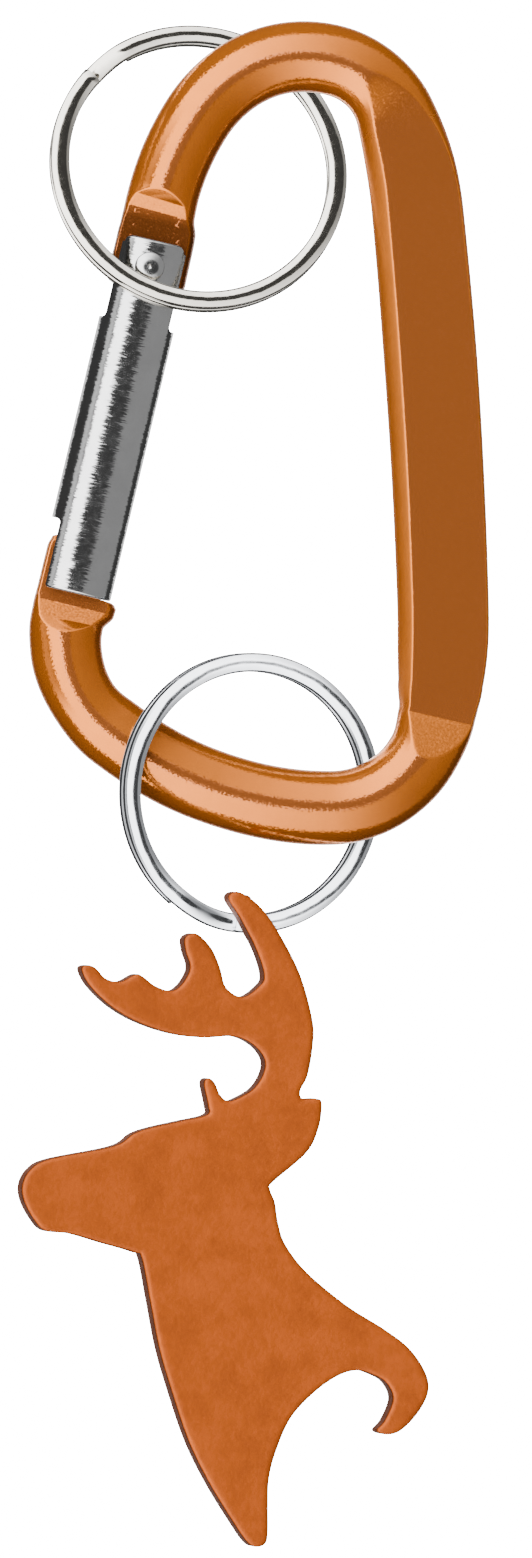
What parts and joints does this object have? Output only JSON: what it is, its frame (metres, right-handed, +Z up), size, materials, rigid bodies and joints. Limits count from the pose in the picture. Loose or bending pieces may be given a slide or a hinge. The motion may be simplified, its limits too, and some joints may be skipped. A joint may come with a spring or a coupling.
{
  "type": "carabiner keyring with bottle opener",
  "caption": "Hanging keyring: a carabiner with a sprung gate, split rings through its bow and bar, and an animal-head bottle opener hung from the lower ring.",
  "frame": {"origin": "the highest point inside the carabiner's bow, where a belt loop, hook or finger carries it", "axes": "+Z up as it hangs, the carabiner lies in the XZ plane and faces -Y, with its gate on the -X side"},
  "size_m": [0.0453, 0.0151, 0.1469],
  "materials": {
    "anodised_frame": "orange anodised, satin",
    "gate_steel": "rolled sheet, brushed",
    "inner_steel": "plain",
    "ring_nickel": "nickel plated",
    "ring_steel": "bright plated",
    "opener_orange": "orange anodised, matt"
  },
  "bodies": {
    "frame": {"carabiner_frame": "anodised_frame"},
    "gate": {"gate_sleeve": "gate_steel", "hinge_rivet": "gate_steel", "gate_spring": "inner_steel", "spring_seat": "inner_steel"},
    "plunger": {"spring_plunger": "inner_steel"},
    "upper_ring": {"upper_split_ring": "ring_nickel"},
    "lower_ring": {"lower_split_ring": "ring_steel"},
    "opener": {"bottle_opener": "opener_orange"}
  },
  "joints": [
    {"name": "gate_hinge", "type": "hinge", "parent": "frame", "child": "gate", "pos_m": [-0.01485, 0, -0.01672], "axis": [0, -1, 0], "range_deg": [0, 30], "stiffness_Nm_per_rad": 0.1, "springref_deg": -40.11, "deforming": ["gate_spring"]},
    {"name": "plunger_slide", "type": "slide", "parent": "gate", "child": "plunger", "axis": [-0.23, 0, -0.9732], "range_m": [0, 0.0016]},
    {"name": "upper_ring_turn", "type": "hinge", "parent": "frame", "child": "upper_ring", "pos_m": [-0.01019, -0.00016, -0.00716], "axis": [0.1835, -0.9349, 0.3039], "continuous": true},
    {"name": "lower_ring_swing", "type": "hinge", "parent": "frame", "child": "lower_ring", "pos_m": [-0.01697, -0.00529, -0.0627], "axis": [0.9031, 0.3926, -0.174], "range_deg": [-12, 18]},
    {"name": "opener_swing", "type": "hinge", "parent": "lower_ring", "child": "opener", "pos_m": [-0.00519, -0.00017, -0.07994], "axis": [0.9781, 0.2079, 0], "range_deg": [-18, 18]}
  ],
  "couplings": [
    {"joint": "plunger_slide", "follows": "gate_hinge", "m_per_rad": 0.003}
  ]
}
